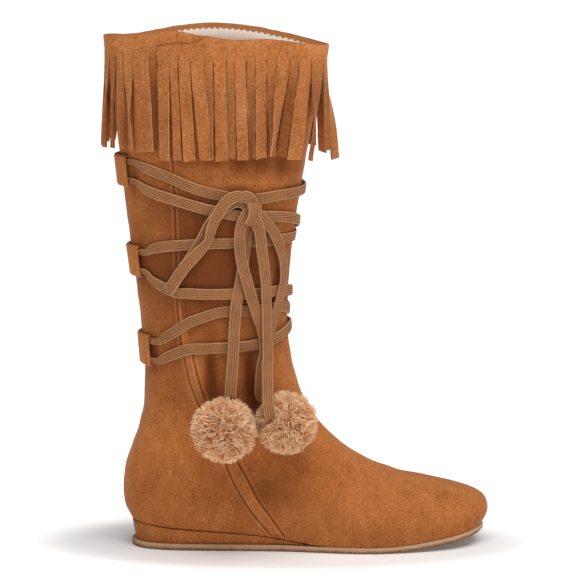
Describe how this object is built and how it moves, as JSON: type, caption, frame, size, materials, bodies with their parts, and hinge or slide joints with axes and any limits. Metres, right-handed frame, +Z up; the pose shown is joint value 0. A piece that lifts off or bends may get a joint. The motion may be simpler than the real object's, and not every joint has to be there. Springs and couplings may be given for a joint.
{
  "type": "fringe boot",
  "caption": "Calf-high soft suede boot with a low covered wedge, a fringed cuff, a braided lace wrapped round the shaft through back loops, and pompoms on the lace ends.",
  "frame": {"origin": "on the floor under the middle of the heel", "axes": "+Z up, +X towards the toe, -Y towards the outer side of the foot"},
  "size_m": [0.2795, 0.1235, 0.3699],
  "materials": {
    "suede": "brushed micro-suede",
    "suede_cuff": "brushed micro-suede",
    "wedge_suede": "brushed micro-suede",
    "outsole_tan": "matt",
    "insole_lining": "soft woven lining",
    "lace_braid": "flat ribbed braid",
    "pompom_wool": "fluffy pile"
  },
  "bodies": {
    "root": {"outsole": "outsole_tan", "heel_wedge": "wedge_suede", "insole": "insole_lining", "upper": "suede", "side_seam_strip": "suede", "fringe_cuff": "suede_cuff", "lace_loop_top": "suede", "lace_loop_middle": "suede", "lace_loop_foot": "suede", "lace_wraps": "lace_braid", "lace_knot": "lace_braid", "bow_loop_left": "lace_braid", "bow_loop_right": "lace_braid", "lace_end_left": "lace_braid", "lace_end_right": "lace_braid", "pompom_left": "pompom_wool", "pompom_right": "pompom_wool"}
  },
  "joints": []
}
